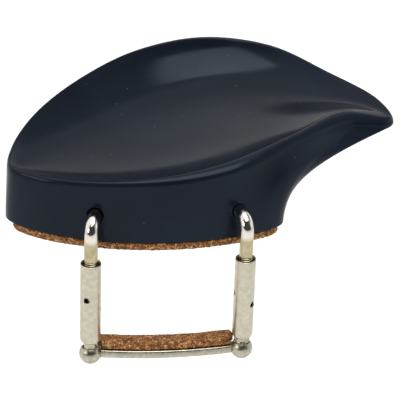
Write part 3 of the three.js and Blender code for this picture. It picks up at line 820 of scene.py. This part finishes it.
def make_foot_plate():
    low = -PIVOT_ABOVE_PLATE
    bm = arc_bar(BARREL_REACH - FOOT_DEPTH, BARREL_REACH, low, low + PLATE_THICKNESS,
                 BARREL_X * PLATE_REACH_SHARE, 48)
    bmesh.ops.recalc_face_normals(bm, faces=bm.faces)
    bevel_edges(bm, end_posts(bm), PLATE_END, 6)
    bmesh.ops.recalc_face_normals(bm, faces=bm.faces)
    rims = [e for e in bm.edges if len(e.link_faces) == 2
            and abs(abs(e.link_faces[0].normal.z) - abs(e.link_faces[1].normal.z)) > 0.5]
    bevel_edges(bm, rims, PLATE_EDGE, 4)
    bmesh.ops.transform(bm, matrix=FOOT_FRAME, verts=bm.verts)
    plate = loose(bm, "foot_plate_forged")
    crown = math.degrees(math.asin(SOCKET_TOP / SOCKET_RADIUS))
    seat = BALL_RADIUS + SOCKET_CLEARANCE
    meet = math.degrees(math.acos(THROAT_RADIUS / seat))
    throat = THROAT_RADIUS + THROAT_FLARE
    outside = [(0, -SOCKET_RADIUS), *arc(0, 0, SOCKET_RADIUS, SOCKET_RADIUS, -86, crown, 28),
               (0, SOCKET_TOP)]
    hollow = [(0, -seat), *arc(0, 0, seat, seat, -86, meet, 20), (throat, SOCKET_TOP),
              (throat, SOCKET_TOP + OVERRUN), (0, SOCKET_TOP + OVERRUN)]
    steps = []
    for profile, operation in ((outside, "UNION"), (hollow, "DIFFERENCE")):
        for side in (-1, 1):
            shape = lathe(profile, 72, closed=False)
            spot = FOOT_FRAME @ Matrix.Translation((side * BARREL_X, 0, 0))
            bmesh.ops.transform(shape, matrix=spot, verts=shape.verts)
            steps.append(cut(loose(shape, "socket"), operation))
    settle(plate, *steps)
    dress(plate, "clamp_foot", forged_nickel, ["foot_plate"])


make_foot_plate()

# %% [markdown]
# ## The cork linings
# Both corks are cut from sheet with a knife, so their faces are flat but grains have crumbled out
# along the edges. A voxel remesh gives an even skin of small faces, and each point is then drawn
# inwards by a cell pattern of the grain's own size. Points are only ever drawn inwards, so the cork
# stays in its place.

# %% Cut and crumble the corks
CORK_VOXEL = 0.25
CRUMBLE = 0.3
GLUE_LINE = 0.2
FOOT_CORK_THICKNESS, FOOT_CORK_INSET, FOOT_CORK_REACH_SHARE = 2.2, 0.4, 0.93
CORK_TO_SOCKET = 0.1


def crumble(piece, keep_up):
    """Draws the cork's skin inwards, grain by grain, and most along its edges."""
    settle(piece, ("REMESH", {"mode": "VOXEL", "voxel_size": CORK_VOXEL * MM}))
    mesh = piece.data
    lines = [v.normal.copy() for v in mesh.vertices]
    for vert, normal in zip(mesh.vertices, lines):
        at = vert.co / MM
        distances, _ = noise.voronoi(at / GRAIN)
        gap = max(0.0, 1 - 2.5 * (distances[1] - distances[0]))
        loss = 0.35 * gap + 0.25 * max(0.0, noise.noise(at / GRAIN * 0.7))
        edge = 1 - max(abs(normal.x), abs(normal.y), abs((keep_up @ normal).z))
        loss += edge * (0.6 + noise.noise(at / GRAIN * 0.4))
        vert.co -= normal * (loss * CRUMBLE * MM)
    return piece


def make_upper_cork():
    bm = bmesh.new()
    ring = bmesh.ops.create_circle(bm, segments=CUP_SIDES, radius=EDGE_RADIUS)["verts"]
    bmesh.ops.contextual_create(bm, geom=ring)
    for i, vert in enumerate(ring):
        vert.co = footing_point(i / CUP_SIDES, CORK_INSET, CORK_SWEEP_SHARE)
        vert.co.z = 0
    ring = move_ring(bm, ring, (0, 0, CORK_THICKNESS))
    bmesh.ops.contextual_create(bm, geom=ring)
    piece = crumble(loose(bm, "upper_cork_lining"), Matrix.Identity(3))
    dress(piece, "cup_body", cork, ["upper_cork"], math.pi)


def make_foot_cork():
    low = PLATE_THICKNESS - PIVOT_ABOVE_PLATE + GLUE_LINE
    bm = arc_bar(BARREL_REACH - FOOT_DEPTH + FOOT_CORK_INSET, BARREL_REACH - FOOT_CORK_INSET,
                 low, low + FOOT_CORK_THICKNESS, BARREL_X * FOOT_CORK_REACH_SHARE, 48)
    bmesh.ops.transform(bm, matrix=FOOT_FRAME, verts=bm.verts)
    piece = loose(bm, "foot_cork_lining")
    notches = []
    for side in (-1, 1):
        radius = SOCKET_RADIUS + CORK_TO_SOCKET
        notch = lathe([(0, -1), (radius, -1), (radius, 6), (0, 6)], 48, closed=False)
        spot = FOOT_FRAME @ Matrix.Translation((side * BARREL_X, 0, 0))
        bmesh.ops.transform(notch, matrix=spot, verts=notch.verts)
        notches.append(cut(loose(notch, "cork_notch")))
    settle(piece, *notches)
    crumble(piece, FOOT_FRAME.to_3x3().inverted())
    dress(piece, "clamp_foot", cork, ["foot_cork"], math.pi)


make_upper_cork()
make_foot_cork()

# %% [markdown]
# ## Floor and light
# The photograph is a cut-out on white. A pale floor well below the object keeps a faint shadow. The
# world is white to the camera and lights the object evenly at a lower level. In reflections it shows
# painted shade: a dim room on the camera's side and two dark flags, which darken only what is
# mirrored. Three large soft lamps light the object.

# %% Floor, world and lamps
FLOOR_DROP = 0.09
FLOOR_SIZE = 6.0
FLOOR_LIFT = 0.25


def make_floor():
    bm = bmesh.new()
    bmesh.ops.create_grid(bm, x_segments=1, y_segments=1, size=FLOOR_SIZE / 2)
    bmesh.ops.translate(bm, verts=bm.verts, vec=(0, 0, cad_low.z - FLOOR_DROP))
    mesh = bpy.data.meshes.new("floor")
    bm.to_mesh(mesh)
    bm.free()
    floor = bpy.data.objects.new("floor", mesh)
    bpy.context.scene.collection.objects.link(floor)
    material, _ = start_material("white_paper_floor")
    paper = add(material, "BsdfDiffuse", {"Color": linear("f4f4f4")})
    path = add(material, "LightPath")
    lift = add(material, "Math", {0: path.outputs["Is Camera Ray"], 1: FLOOR_LIFT},
               operation="MULTIPLY")
    glow = add(material, "Emission", {"Strength": lift.outputs["Value"]})
    both = add(material, "AddShader", {0: paper.outputs["BSDF"], 1: glow.outputs["Emission"]})
    add(material, "OutputMaterial", {"Surface": both.outputs["Shader"]})
    mesh.materials.append(material)


make_floor()

# Painted reflection: glossy rays see a dim room and two dark flags, which give no shade to the diffuse
# light.
SOFT_LEVEL, ROOM_LEVEL = 0.6, 0.05
DARK_FLAGS = [((0.6, 0.0, 0.8), (0.8, 0.92), 0.35), ((0.1, 0.86, 0.5), (0.8, 0.97), 0.65)]
world = bpy.data.worlds.new("white_studio")
bpy.context.scene.world = world
world.use_nodes = True
world.node_tree.nodes.clear()
path = add(world, "LightPath")
mirrored = add(world, "Math", {0: path.outputs["Is Glossy Ray"],
                               1: path.outputs["Is Transmission Ray"]}, operation="MAXIMUM")
direction = add(world, "TexCoord").outputs["Generated"]
towards = add(world, "SeparateXYZ", {"Vector": direction})
room = add(world, "MapRange", {"Value": towards.outputs["Y"], "From Min": -0.65, "From Max": -0.1,
                               "To Min": ROOM_LEVEL, "To Max": 1.0}, interpolation_type="SMOOTHSTEP")
seen = room.outputs["Result"]
for flag_place, (edge, heart), shade in DARK_FLAGS:
    near = add(world, "VectorMath", {0: direction, 1: flag_place}, operation="DOT_PRODUCT")
    flag = add(world, "MapRange", {"Value": near.outputs["Value"], "From Min": edge,
                                   "From Max": heart, "To Min": 1.0, "To Max": shade},
               interpolation_type="SMOOTHSTEP")
    seen = add(world, "Math", {0: seen, 1: flag.outputs["Result"]},
               operation="MULTIPLY").outputs["Value"]
level = add(world, "Mix", {"Factor": mirrored.outputs["Value"], "A": SOFT_LEVEL,
                           "B": seen})
level = add(world, "Mix", {"Factor": path.outputs["Is Camera Ray"], "A": level.outputs["Result"],
                           "B": 1.0})
sky = add(world, "Background", {"Color": (1, 1, 1, 1), "Strength": level.outputs["Result"]})
add(world, "OutputWorld", {"Surface": sky.outputs["Background"]})

LAMPS = [
    ("key_softbox", (0.06, -0.14, 0.68), (0.6, 0.58), 3.6),
    ("left_softbox", (-0.75, -0.45, 0.3), (0.3, 0.3), 1.0),
    ("back_strip", (-0.16, 0.74, 0.4), (0.22, 0.08), 0.22),
]
for name, place, size, power in LAMPS:
    data = bpy.data.lights.new(name, "AREA")
    data.shape, data.energy = "RECTANGLE", power
    data.size, data.size_y = size
    lamp = bpy.data.objects.new(name, data)
    lamp.location = place
    lamp.rotation_euler = (-Vector(place)).to_track_quat("-Z", "Y").to_euler()
    bpy.context.scene.collection.objects.link(lamp)

# %% [markdown]
# ## The end
# The view transform is Standard, so that a colour renders as it is written.

# %% Finish
bpy.context.scene.view_settings.view_transform = "Standard"
